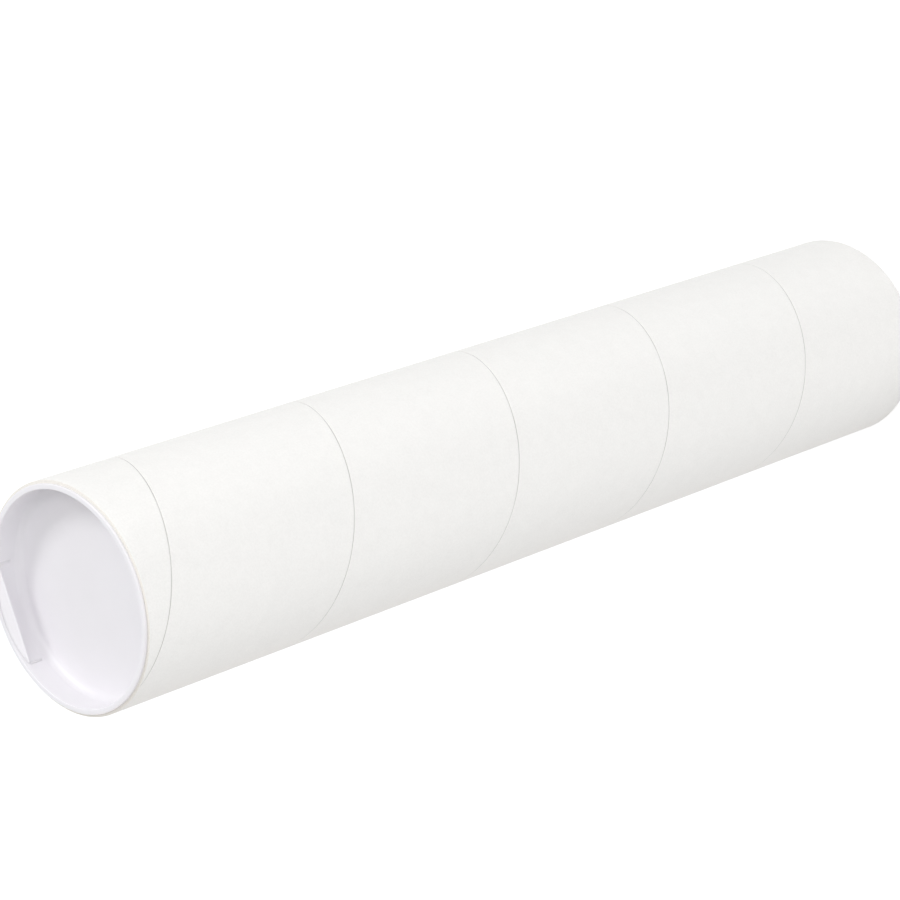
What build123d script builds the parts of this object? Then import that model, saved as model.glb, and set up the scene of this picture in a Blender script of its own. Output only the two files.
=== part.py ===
"""Mailing tube: a spiral-wound paperboard tube closed by two plastic end caps.

The tube stands on its lower cap. The origin is on the tube's axis, on the plane that the lower cap
stands on, and +Z runs up the axis. Lengths are in millimetres and angles in degrees.
"""
from build123d import *
from math import acos, atan2, degrees
import os

# Paperboard tube
tube_length = 406.4            # 16 in of board between the two caps' flanges
bore_diameter = 76.2           # 3 in bore, the size that the caps are sold for
tube_wall = 1.78               # several plies of board wound and glued

# End cap, one plastic moulding: flange, skirt, floor and pull web
skirt_clearance = 0.05         # radial gap between skirt and bore
flange_lip = 0.75              # how far the flange reaches over the end of the board
flange_thickness = 1.0
skirt_wall = 1.05
recess_depth = 10.2            # from the end of the board down to the cap's floor
floor_thickness = 1.1
corner_radius = 3.2            # inside corner between skirt and floor
flange_edge_radius = 0.42
mouth_edge_radius = 0.25
seat_edge_radius = 0.15        # under the flange, at its outer edge

# Pull web: a thin half-moon across one side of the recess, to hook a finger under. It slopes up
# from its straight edge to the wall.
web_reach = 4.25               # from the recess wall in to the middle of the web's straight edge
web_depth = 0.8                # from the end of the board down to the web's upper face at that edge
web_rise = 1.1                 # how much higher the upper face is at the middle of the wall
web_thickness = 0.65
web_edge_radius = 0.22
web_root = 0.4                 # how far the web runs into the skirt's wall
web_direction = 90.0           # the middle of the web, turned from +X about the axis

# Low ribs down the recess wall, one from each end of the web
rib_width = 0.9
rib_height = 0.2
rib_end_gap = 1.0              # from the foot of the rib to the start of the corner radius

# Worked out from the sizes above
bore_radius = bore_diameter / 2
tube_radius = bore_radius + tube_wall
skirt_radius = bore_radius - skirt_clearance
recess_radius = skirt_radius - skirt_wall
web_chord_distance = recess_radius - web_reach
flange_radius = bore_radius + flange_lip
cup_bottom = -(recess_depth + floor_thickness)
lower_seat = flange_thickness
upper_seat = lower_seat + tube_length


def at_point(sketch, across, up):
    """The corners of a flat sketch at one point."""
    near = 1e-4
    return [v for v in sketch.vertices() if abs(v.X - across) < near and abs(v.Y - up) < near]


def make_tube():
    """The board tube, its lower end on the lower cap's flange."""
    wall = Circle(tube_radius) - Circle(bore_radius)
    return Pos(0, 0, lower_seat) * extrude(wall, tube_length)


def make_cup():
    """Flange, skirt and floor in one turned section. Height 0 is the face that seats on the board."""
    section = make_face(
        Polyline(
            (0, cup_bottom),
            (skirt_radius, cup_bottom),
            (skirt_radius, 0),
            (flange_radius, 0),
            (flange_radius, flange_thickness),
            (recess_radius, flange_thickness),
            (recess_radius, -recess_depth),
            (0, -recess_depth),
            close=True,
        )
    )
    section = fillet(at_point(section, skirt_radius, cup_bottom), corner_radius + floor_thickness)
    section = fillet(at_point(section, recess_radius, -recess_depth), corner_radius)
    section = fillet(at_point(section, flange_radius, flange_thickness), flange_edge_radius)
    section = fillet(at_point(section, flange_radius, 0), seat_edge_radius)
    section = fillet(at_point(section, recess_radius, flange_thickness), mouth_edge_radius)
    return revolve(Rot(90, 0, 0) * section, Axis.Z)


def make_web():
    """The half-moon across the recess, its middle on +X, with its straight edge rounded."""
    beyond_chord = Pos(web_chord_distance + recess_radius, 0) * Rectangle(2 * recess_radius, 2 * recess_radius)
    outline = Circle(recess_radius + web_root) & beyond_chord
    column = Pos(0, 0, -recess_depth) * extrude(outline, recess_depth + flange_thickness)
    slope = degrees(atan2(web_rise, web_reach))
    slab = Box(4 * web_reach, 2 * recess_radius, web_thickness, align=(Align.CENTER, Align.CENTER, Align.MAX))
    web = column & Pos(web_chord_distance, 0, -web_depth) * Rot(0, -slope, 0) * slab
    chord_edges = web.edges().filter_by(Axis.Y).group_by(Axis.X)[0]
    return fillet(chord_edges, web_edge_radius)


def make_ribs():
    """The two ribs that run down the recess wall from the ends of the web, its middle on +X."""
    half_angle = degrees(acos(web_chord_distance / recess_radius))
    top = -(web_depth + web_thickness / 2)
    foot = -(recess_depth - corner_radius - rib_end_gap)
    bar = Box(2 * rib_height, rib_width, top - foot, align=(Align.CENTER, Align.CENTER, Align.MIN))
    return [Rot(0, 0, side * half_angle) * Pos(recess_radius, 0, foot) * bar for side in (-1, 1)]


def make_cap():
    """One end cap, open upwards, its flange seated at height 0 and its web turned to its direction."""
    cap = make_cup() + make_web()
    for rib in make_ribs():
        cap += rib
    return Rot(0, 0, web_direction) * cap


parts = {
    "tube": make_tube(),
    "top_end_cap": Pos(0, 0, upper_seat) * make_cap(),
    "bottom_end_cap": Pos(0, 0, lower_seat) * Rot(180, 0, 0) * make_cap(),
}

os.makedirs("parts", exist_ok=True)
for node, shape in parts.items():
    export_step(shape, f"parts/{node}.step")
    print(f"{node}: {shape.volume:.1f} mm3 in {len(shape.solids())} solid")
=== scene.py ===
"""Looks of a spiral-wound mailing tube: a white paperboard tube, closed by two white plug caps.

The tube stands on its lower cap, +Z up its axis. Lengths are in metres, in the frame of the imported
part. Surfaces are worked out with numpy as grids of points, and docstrings give formulas in words.
"""
from __future__ import annotations

import logging
import math
from dataclasses import dataclass, field, replace
from enum import Enum
from typing import Callable

import bpy
import numpy as np
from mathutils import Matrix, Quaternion, Vector

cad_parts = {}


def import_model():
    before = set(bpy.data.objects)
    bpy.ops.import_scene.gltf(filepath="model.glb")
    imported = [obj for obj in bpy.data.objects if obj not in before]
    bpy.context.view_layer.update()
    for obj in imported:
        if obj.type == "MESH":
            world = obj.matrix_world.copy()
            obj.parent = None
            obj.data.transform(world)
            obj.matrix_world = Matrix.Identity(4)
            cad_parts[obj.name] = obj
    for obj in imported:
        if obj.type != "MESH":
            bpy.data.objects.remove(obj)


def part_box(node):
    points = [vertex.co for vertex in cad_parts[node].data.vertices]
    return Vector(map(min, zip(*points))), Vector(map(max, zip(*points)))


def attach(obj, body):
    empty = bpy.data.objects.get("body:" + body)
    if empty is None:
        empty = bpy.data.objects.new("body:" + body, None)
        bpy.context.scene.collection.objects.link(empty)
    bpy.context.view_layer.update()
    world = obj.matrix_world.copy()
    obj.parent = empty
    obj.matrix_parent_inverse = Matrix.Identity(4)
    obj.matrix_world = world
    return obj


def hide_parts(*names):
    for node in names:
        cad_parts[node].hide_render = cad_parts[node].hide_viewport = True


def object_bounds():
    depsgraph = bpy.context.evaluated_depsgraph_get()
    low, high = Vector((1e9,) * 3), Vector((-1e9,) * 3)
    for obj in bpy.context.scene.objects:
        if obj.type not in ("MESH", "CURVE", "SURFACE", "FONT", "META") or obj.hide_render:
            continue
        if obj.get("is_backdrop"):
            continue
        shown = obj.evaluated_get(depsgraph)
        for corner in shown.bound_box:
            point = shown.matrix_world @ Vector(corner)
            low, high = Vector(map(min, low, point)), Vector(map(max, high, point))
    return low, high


LOG = logging.getLogger("mailing_tube")
MM = 0.001
TURN = 2.0 * math.pi
# The Mix node keeps its colour sockets after those for numbers and vectors.
MIX_COLOR_INPUTS = (0, 6, 7)
MIX_COLOR_OUTPUT = 2

Color = tuple[float, float, float]
Triple = tuple[float, float, float]


def from_srgb(red: float, green: float, blue: float) -> Color:
    """Turns a screen colour, 0 to 255, into the linear colour that shaders use.

    Args:
        red: The red channel.
        green: The green channel.
        blue: The blue channel.

    Returns:
        The three linear channels, 0 to 1.
    """
    channels = np.array([red, green, blue]) / 255.0
    curved = ((channels + 0.055) / 1.055) ** 2.4
    linear = np.where(channels <= 0.04045, channels / 12.92, curved)
    return float(linear[0]), float(linear[1]), float(linear[2])


def smooth_step(value: np.ndarray) -> np.ndarray:
    """Runs from 0 to 1 with level ends.

    The formula is three times the square less twice the cube of the value, clamped to 0 to 1.

    Args:
        value: The values.

    Returns:
        The stepped values.
    """
    clamped = np.clip(value, 0.0, 1.0)
    return clamped * clamped * (3.0 - 2.0 * clamped)


def arc(centre: tuple[float, float], radius: float, start: float, end: float, steps: int) -> np.ndarray:
    """Points on a circle's arc in a section plane.

    Args:
        centre: The arc's centre, as distance from the axis and height.
        radius: The arc's radius.
        start: The first angle, in degrees from outwards towards up.
        end: The last angle, in degrees.
        steps: How many spans the arc has.

    Returns:
        An array of steps + 1 points.
    """
    angles = np.radians(np.linspace(start, end, steps + 1))
    circle = np.column_stack([np.cos(angles), np.sin(angles)])
    return np.array(centre) + radius * circle


def run(start: tuple[float, float], end: tuple[float, float], steps: int) -> np.ndarray:
    """Evenly spaced points on a straight line, without its last point, so that runs and arcs join up.

    Args:
        start: The first point.
        end: The point that the next stretch begins with.
        steps: How many spans the line has.

    Returns:
        An array of steps points.
    """
    share = np.linspace(0.0, 1.0, steps, endpoint=False)[:, None]
    return np.array(start) * (1.0 - share) + np.array(end) * share


# Meshes ----------------------------------------------------------------------------------------


@dataclass
class Surface:
    """Points, faces of three or four corners, and a finish number for each face.

    Attributes:
        points: One row of three coordinates for each corner.
        faces: One row of four point numbers for each face; a triangle repeats its last one.
        finish: The material slot's number of each face.
        values: Named numbers for each point, which materials read as attributes.
    """

    points: np.ndarray
    faces: np.ndarray
    finish: np.ndarray
    values: dict[str, np.ndarray] = field(default_factory=dict)

    @classmethod
    def grid(cls, points: np.ndarray, finish: int = 0, closed: bool = False) -> Surface:
        """A sheet of quads over a grid of points.

        Face (i, j) joins points (i, j), (i + 1, j), (i + 1, j + 1) and (i, j + 1), so it faces along
        the first direction crossed with the second.

        Args:
            points: The grid, rows by columns by three.
            finish: The material slot's number.
            closed: Whether the last row joins the first.

        Returns:
            The sheet.
        """
        rows, columns = points.shape[:2]
        index = np.arange(rows * columns).reshape(rows, columns)
        following = np.roll(index, -1, axis=0) if closed else index[1:]
        current = index if closed else index[:-1]
        corners = [current[:, :-1], following[:, :-1], following[:, 1:], current[:, 1:]]
        faces = np.stack(corners, axis=-1).reshape(-1, 4)
        return cls(points.reshape(-1, 3), faces, np.full(len(faces), finish))

    @classmethod
    def turned(cls, section: np.ndarray, columns: int, finish: int = 0) -> Surface:
        """A section turned about the Z axis: point (a, k) is the section's point k at angle a.

        Args:
            section: Points as distance from the axis and height, so that the outside is on their right.
            columns: How many angles the turn has.
            finish: The material slot's number.

        Returns:
            The turned surface, closed round the axis.
        """
        angles = np.linspace(0.0, TURN, columns, endpoint=False)[:, None]
        radius, height = section[:, 0][None, :], section[:, 1][None, :]
        flat = [radius * np.cos(angles), radius * np.sin(angles), height + 0.0 * angles]
        return cls.grid(np.stack(flat, axis=-1), finish, closed=True)

    def joined(self, *others: Surface) -> Surface:
        """This surface and others in one, each with its own points.

        Args:
            others: The other surfaces. A named value that one of them lacks is 0 there.

        Returns:
            The joined surface.
        """
        parts = [self, *others]
        starts = np.cumsum([0] + [len(part.points) for part in parts[:-1]])
        names = {name for part in parts for name in part.values}
        blank = [np.zeros(len(part.points)) for part in parts]
        values = {n: np.concatenate([p.values.get(n, b) for p, b in zip(parts, blank)]) for n in names}
        return Surface(
            np.concatenate([part.points for part in parts]),
            np.concatenate([part.faces + start for part, start in zip(parts, starts)]),
            np.concatenate([part.finish for part in parts]),
            values,
        )

    def welded(self, grain: float = 1e-8) -> Surface:
        """Merges points in the same cell of a fine lattice, and drops faces left with no area.

        Args:
            grain: The lattice's spacing.

        Returns:
            The welded surface.
        """
        cells = np.round(self.points / grain).astype(np.int64)
        _, first, merged = np.unique(cells, axis=0, return_index=True, return_inverse=True)
        faces = merged.reshape(-1)[self.faces]
        for corner in range(3):
            same = faces[:, corner] == faces[:, corner + 1]
            closing = np.roll(faces, -(corner + 1), axis=1)
            faces = np.where(same[:, None], closing, faces)
        distinct = np.array([faces[:, a] != faces[:, b] for a, b in ((0, 1), (1, 2), (0, 2))])
        kept = distinct.all(axis=0)
        values = {name: value[first] for name, value in self.values.items()}
        return Surface(self.points[first], faces[kept], self.finish[kept], values)

    def moved(self, change: Callable[[np.ndarray], np.ndarray]) -> Surface:
        """The same surface with its points put through a function.

        Args:
            change: Takes the rows of points and gives their new places.

        Returns:
            The moved surface.
        """
        return Surface(change(self.points), self.faces, self.finish, self.values)

    def to_object(self, name: str, materials: list[bpy.types.Material]) -> bpy.types.Object:
        """Makes the mesh object, smooth all over, with its place in its mesh.

        Args:
            name: The object's name.
            materials: The materials, in the order of the finish numbers.

        Returns:
            The object, linked to the scene.
        """
        last_repeats = (self.faces[:, 3] == self.faces[:, 2]) | (self.faces[:, 3] == self.faces[:, 0])
        counts = np.where(last_repeats, 3, 4)
        used = np.arange(4)[None, :] < counts[:, None]
        loops = self.faces[used]
        mesh = bpy.data.meshes.new(name)
        mesh.vertices.add(len(self.points))
        mesh.vertices.foreach_set("co", self.points.astype(np.float32).ravel())
        mesh.loops.add(len(loops))
        mesh.loops.foreach_set("vertex_index", loops.astype(np.int32))
        mesh.polygons.add(len(self.faces))
        starts = np.concatenate([[0], np.cumsum(counts)[:-1]])
        mesh.polygons.foreach_set("loop_start", starts.astype(np.int32))
        mesh.polygons.foreach_set("material_index", self.finish.astype(np.int32))
        mesh.polygons.foreach_set("use_smooth", np.ones(len(self.faces), bool))
        for title, value in self.values.items():
            attribute = mesh.attributes.new(title, "FLOAT", "POINT")
            attribute.data.foreach_set("value", value.astype(np.float32))
        mesh.update(calc_edges=True)
        mesh.validate()
        for material in materials:
            mesh.materials.append(material)
        made = bpy.data.objects.new(name, mesh)
        bpy.context.scene.collection.objects.link(made)
        return made


# Finishes --------------------------------------------------------------------------------------


class NodeSheet:
    """A material's node tree, with short ways to add and join its nodes."""

    def __init__(self, name: str) -> None:
        """Starts a material whose tree has only its output.

        Args:
            name: The material's name.
        """
        self.material = bpy.data.materials.new(name)
        self.material.use_nodes = True
        self.tree = self.material.node_tree
        self.tree.nodes.clear()
        self.output = self.tree.nodes.new("ShaderNodeOutputMaterial")

    def add(self, kind: str, **settings: object) -> bpy.types.Node:
        """Adds a node.

        Args:
            kind: The node's type, without its leading ShaderNode.
            settings: Its properties by name.

        Returns:
            The new node.
        """
        node = self.tree.nodes.new("ShaderNode" + kind)
        for name, value in settings.items():
            setattr(node, name, value)
        return node

    def link(self, source: bpy.types.NodeSocket, target: bpy.types.NodeSocket) -> None:
        """Joins an output to an input."""
        self.tree.links.new(source, target)

    def math(self, operation: str, first: object, second: object = 0.0) -> bpy.types.NodeSocket:
        """A sum, product or other step on two values, each a number or an output.

        Args:
            operation: The step's name.
            first: The first value.
            second: The second value.

        Returns:
            The result's output.
        """
        node = self.add("Math", operation=operation)
        for socket, value in zip(node.inputs, (first, second)):
            if isinstance(value, bpy.types.NodeSocket):
                self.link(value, socket)
            else:
                socket.default_value = value
        return node.outputs[0]

    def noise(
        self, scale: float, detail: float = 2.0, stretch: Triple = (1.0, 1.0, 1.0)
    ) -> bpy.types.NodeSocket:
        """Smooth noise over the object's own coordinates.

        Args:
            scale: How many blotches there are in a metre.
            detail: How many finer layers it has.
            stretch: How much denser it is along X, Y and Z.

        Returns:
            The noise's output, about 0.5 on average.
        """
        place = self.add("TexCoord")
        turned = self.add("Mapping")
        turned.inputs["Scale"].default_value = stretch
        noise = self.add("TexNoise")
        noise.inputs["Scale"].default_value = scale
        noise.inputs["Detail"].default_value = detail
        self.link(place.outputs["Object"], turned.inputs["Vector"])
        self.link(turned.outputs["Vector"], noise.inputs["Vector"])
        return noise.outputs["Fac"]

    def attribute(self, name: str) -> bpy.types.NodeSocket:
        """A mesh attribute's value."""
        return self.add("Attribute", attribute_name=name).outputs["Fac"]

    def mix(self, share: object, first: object, second: object) -> bpy.types.NodeSocket:
        """A blend of two colours, each a colour or an output.

        Args:
            share: How much of the second shows, a number or an output.
            first: The first colour.
            second: The second colour.

        Returns:
            The blend's output.
        """
        node = self.add("Mix", data_type="RGBA")
        factor, color_a, color_b = (node.inputs[k] for k in MIX_COLOR_INPUTS)
        for socket, value in ((factor, share), (color_a, first), (color_b, second)):
            if isinstance(value, bpy.types.NodeSocket):
                self.link(value, socket)
            elif isinstance(value, tuple):
                socket.default_value = (*value, 1.0)
            else:
                socket.default_value = value
        return node.outputs[MIX_COLOR_OUTPUT]

    def spread(self, value: bpy.types.NodeSocket, low: float, high: float) -> bpy.types.NodeSocket:
        """Stretches a value so that low becomes 0 and high becomes 1, and clamps it.

        Args:
            value: The value's output.
            low: What becomes 0.
            high: What becomes 1.

        Returns:
            The stretched value's output.
        """
        node = self.add("MapRange", clamp=True)
        self.link(value, node.inputs["Value"])
        node.inputs["From Min"].default_value = low
        node.inputs["From Max"].default_value = high
        return node.outputs["Result"]

    def bump(self, heights: list[tuple[bpy.types.NodeSocket, float]]) -> bpy.types.NodeSocket:
        """One surface relief from several height patterns.

        Args:
            heights: Each pattern and its depth in metres.

        Returns:
            The relief's normal output.
        """
        normal = None
        for pattern, depth in heights:
            node = self.add("Bump")
            node.inputs["Strength"].default_value = 1.0
            node.inputs["Distance"].default_value = depth
            self.link(pattern, node.inputs["Height"])
            if normal is not None:
                self.link(normal, node.inputs["Normal"])
            normal = node.outputs["Normal"]
        return normal

    def principled(self, **inputs: object) -> bpy.types.Node:
        """The surface shader, joined to the output.

        Args:
            inputs: Its inputs by name with underscores for spaces, each a number, colour or output.

        Returns:
            The shader.
        """
        shader = self.add("BsdfPrincipled")
        for name, value in inputs.items():
            socket = shader.inputs[name.replace("_", " ")]
            if isinstance(value, bpy.types.NodeSocket):
                self.link(value, socket)
            elif isinstance(value, tuple) and socket.type == "RGBA":
                socket.default_value = (*value, 1.0)
            else:
                socket.default_value = value
        self.link(shader.outputs[0], self.output.inputs["Surface"])
        return shader


@dataclass(frozen=True)
class PlyPaper:
    """White machine-finished paper: faint fibre mottling, fine grain and a soft gloss.

    Attributes:
        name: The material's name.
        color: The paper's colour.
        shade: The colour of its darker fibres.
        joint_color: The colour down in the joint between two turns.
        roughness: How dull the sheet is.
        grain: The depth of its finest relief.
        sheen: How strongly it reflects.
        flecks: How many dark flecks there are in a metre.
        clouds: How many slow clouds there are in a metre.
        fleck_share: How much of the mottling is flecks; the rest is clouds.
        fibres: How many fibres there are in a metre.
        fibre_stretch: How much denser the fibres are along X, Y and Z.
        waves: How many of the winding's slow waves there are in a metre.
        wave_depth: The depth of those waves.
    """

    name: str
    color: Color
    shade: Color
    joint_color: Color
    roughness: float = 0.55
    grain: float = 0.012 * MM
    sheen: float = 0.35
    flecks: float = 1500.0
    clouds: float = 180.0
    fleck_share: float = 0.7
    fibres: float = 2600.0
    fibre_stretch: Triple = (1.0, 1.0, 0.5)
    waves: float = 60.0
    wave_depth: float = 0.10 * MM

    def make(self) -> bpy.types.Material:
        """Builds the material.

        The colour is mottled by two sizes of noise and goes over to the joint's colour with the
        mesh's joint attribute. The relief adds fibres and a slow unevenness of the winding.

        Returns:
            The material.
        """
        sheet = NodeSheet(self.name)
        flecks = sheet.spread(sheet.noise(self.flecks, 3.0), 0.35, 0.65)
        clouds = sheet.spread(sheet.noise(self.clouds, 2.0), 0.3, 0.7)
        mottling = sheet.math(
            "ADD",
            sheet.math("MULTIPLY", flecks, self.fleck_share),
            sheet.math("MULTIPLY", clouds, 1.0 - self.fleck_share),
        )
        paper = sheet.mix(mottling, self.shade, self.color)
        color = sheet.mix(sheet.attribute("joint"), paper, self.joint_color)
        fibres = sheet.noise(self.fibres, 4.0, self.fibre_stretch)
        waves = sheet.noise(self.waves, 1.0)
        sheet.principled(
            Base_Color=color,
            Roughness=self.roughness,
            Specular_IOR_Level=self.sheen,
            Normal=sheet.bump([(waves, self.wave_depth), (fibres, self.grain)]),
        )
        return sheet.material


@dataclass(frozen=True)
class BoardEdge:
    """The cut end of the board, where the edges of its plies show as fine rings.

    Attributes:
        name: The material's name.
        color: The colour of a ply's edge.
        glue_color: The colour of the glue line between two plies.
        ply: The thickness of one ply.
        glue_line: How much of a ply's thickness its glue line takes.
        glue_share: How strongly the glue line shows.
        wander: How far the rings wander, in plies.
        pulp_shade: The brightness of the pulp's dark spots next to its light ones.
        roughness: How dull the cut is.
        sheen: How strongly it reflects.
        cut_depth: The depth of the cut's roughness.
    """

    name: str
    color: Color
    glue_color: Color
    ply: float = 0.45 * MM
    glue_line: float = 0.22
    glue_share: float = 0.55
    wander: float = 0.25
    pulp_shade: float = 0.9
    roughness: float = 0.85
    sheen: float = 0.2
    cut_depth: float = 0.05 * MM

    def make(self) -> bpy.types.Material:
        """Builds the material.

        The distance from the axis, divided by the ply's thickness, gives a saw-tooth, and a glue
        line shows where the tooth is near its root. Noise breaks the rings up and roughens the cut.

        Returns:
            The material.
        """
        sheet = NodeSheet(self.name)
        place = sheet.add("TexCoord")
        split = sheet.add("SeparateXYZ")
        sheet.link(place.outputs["Object"], split.inputs[0])
        squares = [
            sheet.math("POWER", sheet.math("ABSOLUTE", split.outputs[axis]), 2.0) for axis in (0, 1)
        ]
        radius = sheet.math("SQRT", sheet.math("ADD", squares[0], squares[1]))
        wander = sheet.math("MULTIPLY", sheet.noise(700.0, 2.0), self.wander)
        plies = sheet.math("ADD", sheet.math("DIVIDE", radius, self.ply), wander)
        tooth = sheet.math("FRACT", plies)
        line = sheet.math("SUBTRACT", 1.0, sheet.spread(tooth, 0.0, self.glue_line))
        cut = sheet.noise(3000.0, 3.0)
        dark = tuple(self.pulp_shade * channel for channel in self.color)
        pulp = sheet.mix(sheet.spread(cut, 0.3, 0.7), dark, self.color)
        sheet.principled(
            Base_Color=sheet.mix(sheet.math("MULTIPLY", line, self.glue_share), pulp, self.glue_color),
            Roughness=self.roughness,
            Specular_IOR_Level=self.sheen,
            Normal=sheet.bump([(cut, self.cut_depth)]),
        )
        return sheet.material


@dataclass(frozen=True)
class CapPlastic:
    """White low-density polyethylene: waxy, a little see-through, with a soft moulded sheen.

    Attributes:
        name: The material's name.
        color: The plastic's colour.
        roughness: How dull it is.
        depth: How far light travels inside it.
        share: How much of the light travels inside.
        travel: How far red, green and blue travel, against that depth.
        sheen: How strongly it reflects.
        cloud_shade: The brightness of the colour's dark clouds next to its light ones.
        flow_depth: The depth of the waves that the plastic's flow leaves.
        grain_depth: The depth of the mould's fine grain.
    """

    name: str
    color: Color
    roughness: float = 0.36
    depth: float = 1.6 * MM
    share: float = 0.25
    travel: Triple = (1.0, 0.95, 1.0)
    sheen: float = 0.4
    cloud_shade: float = 0.985
    flow_depth: float = 0.06 * MM
    grain_depth: float = 0.004 * MM

    def make(self) -> bpy.types.Material:
        """Builds the material: an even colour with slow clouds, flow waves and fine grain.

        Returns:
            The material.
        """
        sheet = NodeSheet(self.name)
        clouds = sheet.spread(sheet.noise(90.0, 2.0), 0.3, 0.7)
        dark = tuple(self.cloud_shade * channel for channel in self.color)
        color = sheet.mix(clouds, dark, self.color)
        flow = sheet.noise(140.0, 1.0)
        grain = sheet.noise(2400.0, 2.0)
        sheet.principled(
            Base_Color=color,
            Roughness=self.roughness,
            Specular_IOR_Level=self.sheen,
            Subsurface_Weight=self.share,
            Subsurface_Radius=self.travel,
            Subsurface_Scale=self.depth,
            Normal=sheet.bump([(flow, self.flow_depth), (grain, self.grain_depth)]),
        )
        return sheet.material


class Finish(Enum):
    """The finishes of the tube and its caps."""

    OUTER_PLY = PlyPaper(
        name="outer_ply_paper",
        color=from_srgb(247, 246, 244),
        shade=from_srgb(241, 240, 238),
        joint_color=from_srgb(196, 194, 192),
    )
    BORE_PLY = PlyPaper(
        name="bore_ply_paper",
        color=from_srgb(222, 212, 196),
        shade=from_srgb(206, 194, 176),
        joint_color=from_srgb(150, 138, 122),
        roughness=0.8,
        grain=0.02 * MM,
    )
    CUT_EDGE = BoardEdge("board_cut_edge", from_srgb(243, 240, 234), from_srgb(226, 219, 208))
    CAP = CapPlastic("cap_plastic", from_srgb(238, 236, 240))


class Facing(Enum):
    """Which way a wound surface is seen from: away from the axis or towards it."""

    OUTWARDS = 1
    INWARDS = -1


# Tube ------------------------------------------------------------------------------------------


@dataclass(frozen=True)
class WoundPly:
    """One ply wound in a helix, its edges butted with a fine joint between turns.

    Attributes:
        radius: The radius of its face.
        low: The lowest height.
        high: The highest height.
        facing: Which way the face looks.
        pitch: The rise of one turn.
        joint_angle: The direction of the joint at the top end, in degrees from +X.
        joint_width: The gap between two turns, measured up the tube.
        joint_depth: The depth of that gap.
        lip: How far the ply's edges stand proud beside the gap.
        end_fade: How far from an end the relief has faded out.
        between: How many rows there are between the joint's dense ones.
        columns: How many points there are in a turn.
        finish: The material slot's number.
    """

    radius: float
    low: float
    high: float
    facing: Facing
    pitch: float
    joint_angle: float
    joint_width: float = 0.42 * MM
    joint_depth: float = 0.22 * MM
    lip: float = 0.02 * MM
    end_fade: float = 0.3 * MM
    between: int = 7
    columns: int = 400
    finish: int = 0

    def offsets(self) -> np.ndarray:
        """Heights of the rows above the joint's middle: dense at the joint, wide apart between.

        Returns:
            The heights, from 0 to one pitch.
        """
        half = self.joint_width / 2.0
        near = half * np.array([0.0, 0.45, 0.8, 1.0, 1.35, 2.2, 4.0, 9.0])
        middle = np.linspace(near[-1], self.pitch - near[-1], self.between + 2)[1:-1]
        return np.concatenate([near, middle, self.pitch - near[:0:-1]])

    def relief(self, above: np.ndarray, along: np.ndarray) -> np.ndarray:
        """How far the face stands out, from the height above the joint and the angle along it.

        The gap is a trough with a flat bottom and steep sides: a smooth step of the distance from
        the joint. Two sines of the angle make its depth waver. Beside it each edge has a low lip
        that dies away exponentially, the upper turn's higher than the lower's.

        Args:
            above: Height above the middle of the nearest joint below, 0 to one pitch.
            along: Angle along the helix, in radians.

        Returns:
            The offset along the facing direction.
        """
        beside = np.minimum(above, self.pitch - above)
        half = self.joint_width / 2.0
        wall = smooth_step((half * 1.35 - beside) / (half * 0.75))
        waver = 0.82 + 0.12 * np.sin(5.3 * along + 0.7) + 0.08 * np.sin(13.1 * along + 2.0)
        upper = above < self.pitch / 2.0
        edge = np.where(upper, 1.4, 0.6) * np.exp(-beside / (half * 5.0))
        return self.lip * edge - (self.joint_depth * waver + self.lip) * wall

    def surface(self) -> Surface:
        """The ply's face.

        A point at helix angle a and offset s lies at height a times the pitch over a full turn,
        plus s, and its radius is the face's radius plus the relief. Rows past an end are pressed
        onto it, and the relief fades out just before it, so that the end is a plain circle.

        Returns:
            The face, with a joint attribute that is 1 in the gap and 0 away from it.
        """
        offsets = self.offsets()[:-1]
        turns = math.ceil((self.high - self.low) / self.pitch) + 2
        steps = np.arange(turns * self.columns + 1)
        sweep = steps * TURN / self.columns
        height = self.high - self.pitch + self.pitch * sweep / TURN
        height = height[:, None] - (turns - 2) * self.pitch + offsets[None, :]
        clamped = np.clip(height, self.low, self.high)
        to_end = np.minimum(clamped - self.low, self.high - clamped)
        fade = smooth_step(to_end / self.end_fade)
        above = np.broadcast_to(offsets[None, :], height.shape)
        relief = self.relief(above, sweep[:, None]) * fade
        radius = self.radius + self.facing.value * relief
        whole = steps % self.columns * TURN / self.columns
        direction = math.radians(self.joint_angle) - whole[:, None]
        points = np.stack([radius * np.cos(direction), radius * np.sin(direction), clamped], axis=-1)
        joint = np.clip(-relief / self.joint_depth, 0.0, 1.0)
        return self.strip(points, joint)

    def strip(self, points: np.ndarray, joint: np.ndarray) -> Surface:
        """Joins each turn's last row to the first row of the turn above, which is one column set on.

        Args:
            points: Steps along the helix by offsets by three.
            joint: The joint attribute, steps by offsets.

        Returns:
            The welded strip, facing as the ply does.
        """
        steps, rows = points.shape[:2]
        index = np.arange(steps * rows).reshape(steps, rows)
        within = np.stack([index[:-1, :-1], index[1:, :-1], index[1:, 1:], index[:-1, 1:]], axis=-1)
        ends = steps - self.columns
        lower, upper = index[:ends, -1], index[self.columns:, 0]
        across = np.stack([lower[:-1], lower[1:], upper[1:], upper[:-1]], axis=-1)
        faces = np.concatenate([within.reshape(-1, 4), across])
        if self.facing is Facing.OUTWARDS:
            faces = faces[:, ::-1]
        finish = np.full(len(faces), self.finish)
        return Surface(points.reshape(-1, 3), faces, finish, {"joint": joint.reshape(-1)})


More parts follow.
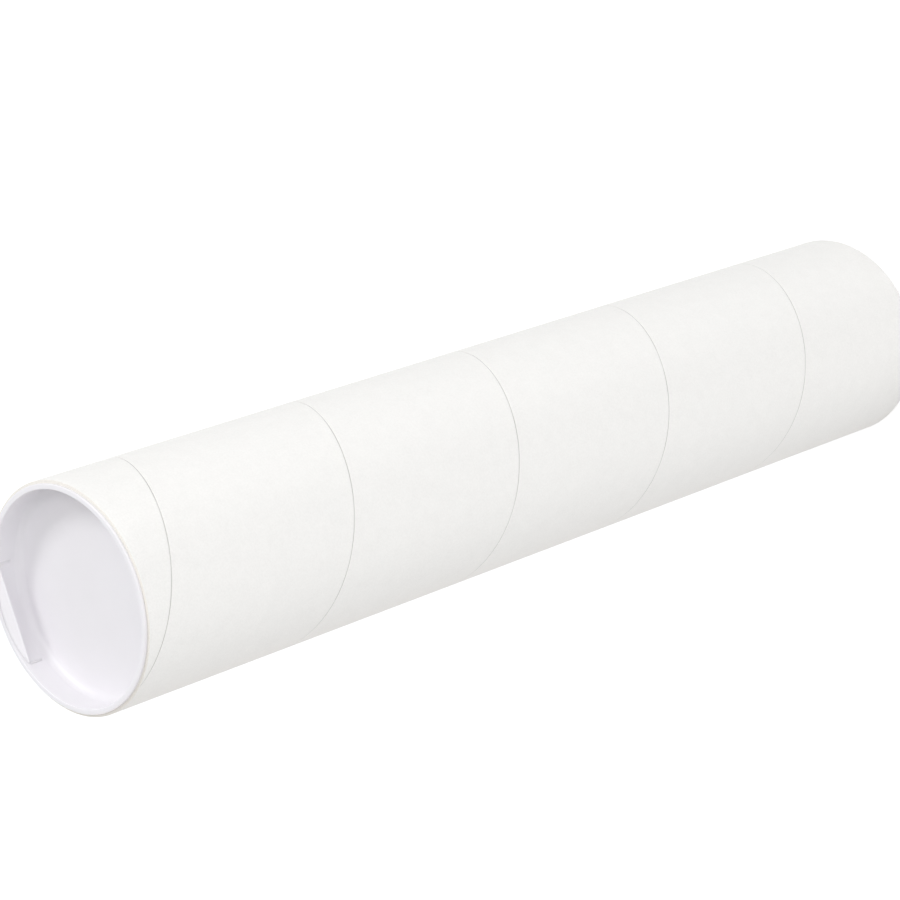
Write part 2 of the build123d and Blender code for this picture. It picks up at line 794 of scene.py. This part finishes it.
@dataclass(frozen=True)
class BoardTube:
    """The paperboard tube: wound outer face, wound bore, and two cut ends with softened edges.

    Attributes:
        low: Height of the lower end.
        high: Height of the upper end.
        radius: The outer radius.
        wall: The board's thickness.
        pitch: The rise of the outer ply in one turn.
        joint_angle: Direction of the outer joint at the upper end, in degrees from +X.
        edge_round: The radius that cutting leaves on the ends' corners.
        weld: How close points of the faces and the ends must be to merge.
    """

    low: float
    high: float
    radius: float
    wall: float = 1.78 * MM
    pitch: float = 81.65 * MM
    joint_angle: float = -146.65
    edge_round: float = 0.16 * MM
    weld: float = 1e-7

    def end_section(self) -> np.ndarray:
        """The section of the cut end, above the top of the wound faces.

        From the outer face it rounds a corner, crosses the wall and rounds the inner corner.

        Returns:
            Points as distance from the axis and height.
        """
        soft = self.edge_round
        outer = arc((self.radius - soft, 0.0), soft, 0.0, 90.0, 4)
        inner = arc((self.radius - self.wall + soft, 0.0), soft, 90.0, 180.0, 4)
        across = run((self.radius - soft, soft), (self.radius - self.wall + soft, soft), 8)
        return np.concatenate([outer[:-1], across, inner])

    def surface(self) -> Surface:
        """The whole tube as one closed surface.

        The ends start at the outer joint's direction, so that their points meet the wound faces'.

        Returns:
            The tube.
        """
        soft = self.edge_round
        low, high = self.low + soft, self.high - soft
        outer = WoundPly(self.radius, low, high, Facing.OUTWARDS, self.pitch, self.joint_angle)
        bore = replace(
            outer, radius=self.radius - self.wall, facing=Facing.INWARDS, lip=0.0, finish=1
        )
        section = self.end_section()
        mirrored = (section * np.array([1.0, -1.0]))[::-1]
        upper = Surface.turned(section + np.array([0.0, high]), outer.columns, 2)
        lower = Surface.turned(mirrored + np.array([0.0, low]), outer.columns, 2)
        turn = rotation_about_z(math.radians(self.joint_angle))
        ends = upper.joined(lower).moved(lambda points: points @ turn.T)
        return outer.surface().joined(bore.surface(), ends).welded(self.weld)

    def build(self) -> bpy.types.Object:
        """Makes the tube, dresses it and puts it in the place of its node.

        Returns:
            The tube.
        """
        finishes = (Finish.OUTER_PLY, Finish.BORE_PLY, Finish.CUT_EDGE)
        tube = self.surface().to_object("board_tube", [finish.value.make() for finish in finishes])
        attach(tube, "tube")
        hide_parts("tube")
        return tube


def rotation_about_z(angle: float) -> np.ndarray:
    """The matrix that turns points about the Z axis by an angle in radians."""
    cosine, sine = math.cos(angle), math.sin(angle)
    return np.array([[cosine, -sine, 0.0], [sine, cosine, 0.0], [0.0, 0.0, 1.0]])


# Caps ------------------------------------------------------------------------------------------


@dataclass(frozen=True)
class PlugCap:
    """One moulded cap, drawn with its seat on the board at height 0 and its mouth upwards.

    Attributes:
        flange_radius: Outer radius of the flange.
        flange: Thickness of the flange.
        skirt_radius: Outer radius of the skirt.
        wall: Thickness of the skirt.
        recess: Depth of the floor's upper face below the seat.
        floor: Thickness of the floor.
        corner: Inside radius between skirt and floor.
        flange_round: Radius of the flange's outer edge.
        mouth_round: Radius of the mouth's inner edge.
        seat_round: Radius of the flange's lower edge, beside the board.
        dish: How much lower the floor is in its middle.
        gate_radius: Radius of the gate mark in the floor's middle.
        gate_height: How far the gate mark stands up.
        columns: How many points there are in a turn.
    """

    flange_radius: float
    flange: float
    skirt_radius: float = 38.05 * MM
    wall: float = 1.05 * MM
    recess: float = 10.2 * MM
    floor: float = 1.1 * MM
    corner: float = 3.2 * MM
    flange_round: float = 0.42 * MM
    mouth_round: float = 0.25 * MM
    seat_round: float = 0.15 * MM
    dish: float = 0.12 * MM
    gate_radius: float = 1.6 * MM
    gate_height: float = 0.18 * MM
    columns: int = 320

    @property
    def recess_radius(self) -> float:
        """The inner radius of the skirt."""
        return self.skirt_radius - self.wall

    def section(self) -> np.ndarray:
        """Half of the cap's section, from its floor's middle round to its underside's middle.

        Straight stretches and quarter circles follow one another: floor, inner corner, recess wall,
        mouth, rim, flange's edge, seat, skirt, heel and underside.

        Returns:
            Points as distance from the axis and height.
        """
        inner, outer = self.recess_radius, self.skirt_radius
        bottom = -(self.recess + self.floor)
        flat = inner - self.corner
        shares = np.linspace(0.0, 1.0, 25, endpoint=False)
        floor = np.column_stack([flat * shares, self.floor_height(flat * shares)])
        fillet = arc((flat, self.corner - self.recess), self.corner, -90.0, 0.0, 14)
        soft, edge, under = self.mouth_round, self.flange_round, self.seat_round
        mouth = arc((inner + soft, self.flange - soft), soft, 180.0, 90.0, 5)
        rim = arc((self.flange_radius - edge, self.flange - edge), edge, 90.0, 0.0, 8)
        seat = arc((self.flange_radius - under, under), under, 0.0, -90.0, 3)
        heel_round = self.corner + self.floor
        heel = arc((outer - heel_round, bottom + heel_round), heel_round, 0.0, -90.0, 14)
        return np.concatenate([
            floor,
            fillet[:-1],
            run(tuple(fillet[-1]), tuple(mouth[0]), 10),
            mouth[:-1],
            run(tuple(mouth[-1]), tuple(rim[0]), 4),
            rim[:-1],
            run(tuple(rim[-1]), tuple(seat[0]), 2),
            seat[:-1],
            run(tuple(seat[-1]), (outer, 0.0), 3),
            run((outer, 0.0), tuple(heel[0]), 8),
            heel[:-1],
            run(tuple(heel[-1]), (0.0, bottom), 16),
            np.array([[0.0, bottom]]),
        ])

    def floor_height(self, radius: np.ndarray) -> np.ndarray:
        """The floor's upper face: a shallow dish, with a low round gate mark in its middle.

        Both are smooth steps of the distance from the axis.

        Args:
            radius: Distances from the axis.

        Returns:
            The heights there.
        """
        flat = self.recess_radius - self.corner
        bowl = -self.dish * (1.0 - smooth_step(radius / flat))
        mark = self.gate_height * smooth_step((self.gate_radius - radius) / (0.5 * self.gate_radius))
        return bowl + mark - self.recess

    def cup(self) -> Surface:
        """The turned body of the cap, closed at both poles."""
        return Surface.turned(self.section(), self.columns).welded()

    def place(self, mouth_up: bool, seat: float) -> Callable[[np.ndarray], np.ndarray]:
        """The way points of the drawing go to their place on the tube.

        Args:
            mouth_up: Whether the cap's mouth looks up; if not, it is turned half a turn about X.
            seat: Height of the board's end.

        Returns:
            A function from rows of points to rows of points.
        """
        flip = np.array([1.0, 1.0, 1.0]) if mouth_up else np.array([1.0, -1.0, -1.0])
        return lambda points: points * flip + np.array([0.0, 0.0, seat])


@dataclass(frozen=True)
class FingerWeb:
    """The thin half-moon across one side of the recess, its middle towards +Y, and its two ribs.

    Attributes:
        cap: The cap that it is moulded in.
        reach: From the recess wall in to the middle of the straight edge.
        top: Depth of its upper face below the seat, at the straight edge.
        rise: How much higher the upper face is at the middle of the wall.
        thickness: How thick it is.
        root: How far it runs into the skirt.
        blend: Radius that joins its faces to the wall.
        columns: How many stretches there are from one end to the other.
        rib_width: Width of the ribs below its ends.
        rib_height: How far the ribs stand out from the wall.
        rib_foot: Depth of the ribs' feet below the seat.
        rib_taper: The height over which a rib's foot runs into the wall.
    """

    cap: PlugCap
    reach: float = 4.25 * MM
    top: float = 0.8 * MM
    rise: float = 1.1 * MM
    thickness: float = 0.65 * MM
    root: float = 0.4 * MM
    blend: float = 0.3 * MM
    columns: int = 96
    rib_width: float = 0.9 * MM
    rib_height: float = 0.2 * MM
    rib_foot: float = 6.0 * MM
    rib_taper: float = 0.8 * MM

    @property
    def chord(self) -> float:
        """Distance from the axis to the straight edge."""
        return self.cap.recess_radius - self.reach

    def surface(self) -> Surface:
        """The half-moon as a closed shell.

        Each stretch across it runs from the upper face's root, over the rounded straight edge, to
        the lower face's root. A point at share s of the way lies at the edge's distance plus s times
        the depth there, near the wall the faces spread in a quarter circle to meet it, and the whole
        web slopes up to the wall in a straight line.

        Returns:
            The shell, whose ends are inside the skirt.
        """
        limit = self.cap.recess_radius + self.root
        half_width = math.sqrt(limit**2 - (self.chord + 0.55 * self.thickness) ** 2)
        sweep = np.linspace(-math.pi / 2.0, math.pi / 2.0, self.columns + 1)
        across = np.sin(sweep)[:, None] * half_width
        wall = np.sqrt(limit**2 - across**2)
        inner_wall = np.sqrt(np.maximum(self.cap.recess_radius**2 - across**2, 0.0))
        half = self.thickness / 2.0
        start = self.chord + half
        face = start + np.linspace(1.0, 0.0, 19)[None, :] * (wall - start)
        beyond = np.clip(1.0 - (inner_wall - face) / self.blend, 0.0, 1.0)
        spread = half + self.blend * (1.0 - np.sqrt(1.0 - beyond**2))
        nose = np.radians(np.linspace(90.0, 270.0, 13))[None, 1:-1]
        rounded = start + half * np.cos(nose) + 0.0 * across
        heights = half * np.sin(nose) + 0.0 * across
        outwards = np.concatenate([face, rounded, face[:, ::-1]], axis=1)
        height = np.concatenate([spread, heights, -spread[:, ::-1]], axis=1)
        level = -self.top - half + self.rise * (outwards - self.chord) / self.reach
        grid = np.stack([across + 0.0 * outwards, outwards, height + level], axis=-1)
        shell = Surface.grid(np.concatenate([grid, grid[:, :1]], axis=1))
        ends = [self.end_strip(grid[0])[::-1], self.end_strip(grid[-1])]
        return shell.joined(*[Surface.grid(strip) for strip in ends]).welded()

    @staticmethod
    def end_strip(loop: np.ndarray) -> np.ndarray:
        """A grid of two rows, the two halves of a loop, that closes the loop.

        Args:
            loop: The loop's points in order.

        Returns:
            The first half, and the second half backwards.
        """
        count = len(loop) // 2
        return np.stack([loop[:count], loop[::-1][:count]])

    def ribs(self) -> Surface:
        """The two low ribs down the recess wall, from the web's ends.

        Each is an upright rod of oval section, half sunk in the wall, that narrows at its foot.

        Returns:
            Both ribs.
        """
        half_angle = math.acos(self.chord / self.cap.recess_radius)
        around = np.radians(np.linspace(0.0, 360.0, 17))[None, :]
        heights = np.linspace(-self.rib_foot, -(self.top + self.thickness / 2.0), 12)[:, None]
        taper = smooth_step((heights + self.rib_foot) / self.rib_taper)
        outwards = self.cap.recess_radius - self.rib_height * np.cos(around) * taper
        sideways = 0.5 * self.rib_width * np.sin(around) + 0.0 * heights
        rod = np.stack([sideways, outwards, heights + 0.0 * outwards], axis=-1)[::-1]
        turns = [rotation_about_z(side * half_angle) for side in (-1.0, 1.0)]
        first, second = (Surface.grid(rod @ turn.T) for turn in turns)
        return first.joined(second)


@dataclass(frozen=True)
class EndCap:
    """A cap in its place on the tube.

    Attributes:
        node: The CAD node that it stands for.
        body: The body that it rides on.
        mouth_up: Whether its mouth looks up.
        seat: Height of the board's end.
        shape: The cap's drawing.
    """

    node: str
    body: str
    mouth_up: bool
    seat: float
    shape: PlugCap

    def build(self, material: bpy.types.Material) -> bpy.types.Object:
        """Makes the cap, dresses it and puts it in the place of its node.

        Args:
            material: The plastic.

        Returns:
            The cap.
        """
        web = FingerWeb(self.shape)
        moulding = self.shape.cup().joined(web.surface(), web.ribs())
        placed = moulding.moved(self.shape.place(self.mouth_up, self.seat))
        cap = placed.to_object(f"{self.node}_moulding", [material])
        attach(cap, self.body)
        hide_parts(self.node)
        return cap


# Studio ----------------------------------------------------------------------------------------


@dataclass(frozen=True)
class SoftLamp:
    """A square lamp that looks at the tube.

    Attributes:
        name: The lamp's name.
        direction: From the aim towards the lamp.
        power: Its strength in watts.
        size: The length of its side.
        color: Its colour.
        aim: The point it looks at.
        distance: How far off it stands.
    """

    name: str
    direction: Triple
    power: float
    size: float = 1.0
    color: Color = (1.0, 1.0, 1.0)
    aim: Triple = (0.0, 0.0, 0.3)
    distance: float = 2.4

    def build(self) -> bpy.types.Object:
        """Makes the lamp.

        Returns:
            The lamp, linked to the scene.
        """
        data = bpy.data.lights.new(self.name, "AREA")
        data.shape = "SQUARE"
        data.size = self.size
        data.energy = self.power
        data.color = self.color
        lamp = bpy.data.objects.new(self.name, data)
        towards = Vector(self.direction).normalized()
        lamp.location = Vector(self.aim) + towards * self.distance
        lamp.rotation_mode = "QUATERNION"
        lamp.rotation_quaternion = towards.to_track_quat("Z", "Y")
        bpy.context.scene.collection.objects.link(lamp)
        return lamp


@dataclass(frozen=True)
class Camera:
    """The camera, by its place, the point it looks at, and its roll about that line.

    Attributes:
        location: Where it stands.
        target: Where it looks.
        roll: How far it is turned clockwise as seen from behind it, in degrees.
        lens: Its focal length in millimetres.
        sensor: The width of its sensor in millimetres.
        clip: The nearest and furthest distances that it sees.
    """

    location: Triple = (0.03044, -0.86143, 1.03367)
    target: Triple = (0.00617, 0.00017, 0.22547)
    roll: float = 108.69
    lens: float = 130.47
    sensor: float = 36.0
    clip: tuple[float, float] = (0.01, 100.0)

    def build(self) -> bpy.types.Object:
        """Makes the camera and gives it to the scene.

        Returns:
            The camera.
        """
        data = bpy.data.cameras.new("camera")
        data.lens = self.lens
        data.sensor_width = self.sensor
        data.clip_start, data.clip_end = self.clip
        camera = bpy.data.objects.new("camera", data)
        look = Vector(self.target) - Vector(self.location)
        camera.location = self.location
        camera.rotation_mode = "QUATERNION"
        upright = look.to_track_quat("-Z", "Y")
        camera.rotation_quaternion = upright @ Quaternion((0.0, 0.0, 1.0), math.radians(-self.roll))
        bpy.context.scene.collection.objects.link(camera)
        bpy.context.scene.camera = camera
        return camera


@dataclass(frozen=True)
class Studio:
    """Floor, surroundings and lamps.

    Attributes:
        floor_height: Height of the floor.
        floor_half: Half of the floor's side.
        floor_color: The floor's grey as it lights the tube.
        floor_seen: The floor's grey as the camera sees it.
        floor_glow: How much it glows for the camera.
        surroundings: Strength of the even light from all round.
    """

    floor_height: float
    floor_half: float = 6.0
    floor_color: float = 0.8
    floor_seen: float = 0.45
    floor_glow: float = 0.72
    surroundings: float = 0.57

    @staticmethod
    def lamps() -> list[SoftLamp]:
        """A key from one side and above, a broad lamp overhead, and low fills in front and behind.

        Returns:
            The lamps.
        """
        return [
            SoftLamp("key", (0.755, 0.053, 0.654), 19.6, size=0.62),
            SoftLamp("overhead", (0.304, -0.430, 0.850), 9.6),
            SoftLamp("front_fill", (0.080, -0.862, 0.500), 5.6),
            SoftLamp("low_front", (-0.415, -0.902, 0.120), 10.6),
            SoftLamp("low_back", (-0.573, 0.811, 0.120), 10.0, color=(1.0, 0.80, 0.68)),
            SoftLamp("low_side", (-0.091, 0.989, 0.120), 5.6, color=(0.3, 0.85, 1.0)),
        ]

    def build_floor(self) -> bpy.types.Object:
        """The pale floor: seen directly it glows to white, and keeps the shadow that falls on it.

        Returns:
            The floor.
        """
        ticks = np.linspace(-self.floor_half, self.floor_half, 3)
        across, along = np.meshgrid(ticks, ticks, indexing="ij")
        grid = np.stack([across, along, np.full_like(across, self.floor_height)], axis=-1)
        sheet = NodeSheet("floor_white")
        diffuse, seen = sheet.add("BsdfDiffuse"), sheet.add("BsdfDiffuse")
        for node, grey in ((diffuse, self.floor_color), (seen, self.floor_seen)):
            node.inputs["Color"].default_value = (grey, grey, grey, 1.0)
        glow = sheet.add("Emission")
        glow.inputs["Strength"].default_value = self.floor_glow
        both = sheet.add("AddShader")
        sheet.link(seen.outputs[0], both.inputs[0])
        sheet.link(glow.outputs[0], both.inputs[1])
        rays = sheet.add("LightPath")
        choice = sheet.add("MixShader")
        sheet.link(rays.outputs["Is Camera Ray"], choice.inputs[0])
        sheet.link(diffuse.outputs[0], choice.inputs[1])
        sheet.link(both.outputs[0], choice.inputs[2])
        sheet.link(choice.outputs[0], sheet.output.inputs["Surface"])
        floor = Surface.grid(grid).to_object("floor", [sheet.material])
        floor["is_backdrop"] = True
        return floor

    def build_world(self) -> None:
        """Even light from all round, which the camera sees as white."""
        world = bpy.data.worlds.new("surroundings")
        world.use_nodes = True
        tree = world.node_tree
        tree.nodes.clear()
        output = tree.nodes.new("ShaderNodeOutputWorld")
        light = tree.nodes.new("ShaderNodeBackground")
        light.inputs["Color"].default_value = (1.0, 1.0, 1.0, 1.0)
        light.inputs["Strength"].default_value = self.surroundings
        seen = tree.nodes.new("ShaderNodeBackground")
        seen.inputs["Color"].default_value = (1.0, 1.0, 1.0, 1.0)
        rays = tree.nodes.new("ShaderNodeLightPath")
        choice = tree.nodes.new("ShaderNodeMixShader")
        tree.links.new(rays.outputs["Is Camera Ray"], choice.inputs[0])
        tree.links.new(light.outputs[0], choice.inputs[1])
        tree.links.new(seen.outputs[0], choice.inputs[2])
        tree.links.new(choice.outputs[0], output.inputs["Surface"])
        bpy.context.scene.world = world


def main() -> None:
    """Builds the tube, the caps, the studio and the camera in order, and logs each piece."""
    logging.basicConfig(level=logging.INFO, format="%(name)s: %(message)s")
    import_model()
    cad_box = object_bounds()

    board_low, board_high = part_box("tube")
    cap_low, cap_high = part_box("top_end_cap")
    tube = BoardTube(board_low.z, board_high.z, (board_high.x - board_low.x) / 2.0)
    shape = PlugCap((cap_high.x - cap_low.x) / 2.0, cap_high.z - board_high.z)
    upper = EndCap("top_end_cap", "upper_cap", True, board_high.z, shape)
    lower = EndCap("bottom_end_cap", "lower_cap", False, board_low.z, shape)

    plastic = Finish.CAP.value.make()
    for piece in (tube.build(), upper.build(plastic), lower.build(plastic)):
        LOG.info("%s: %d faces", piece.name, len(piece.data.polygons))

    studio = Studio(cad_box[0].z)
    studio.build_floor()
    studio.build_world()
    for lamp in studio.lamps():
        lamp.build()
    Camera().build()
    bpy.context.scene.view_settings.view_transform = "Standard"


if __name__ == "__main__":
    main()
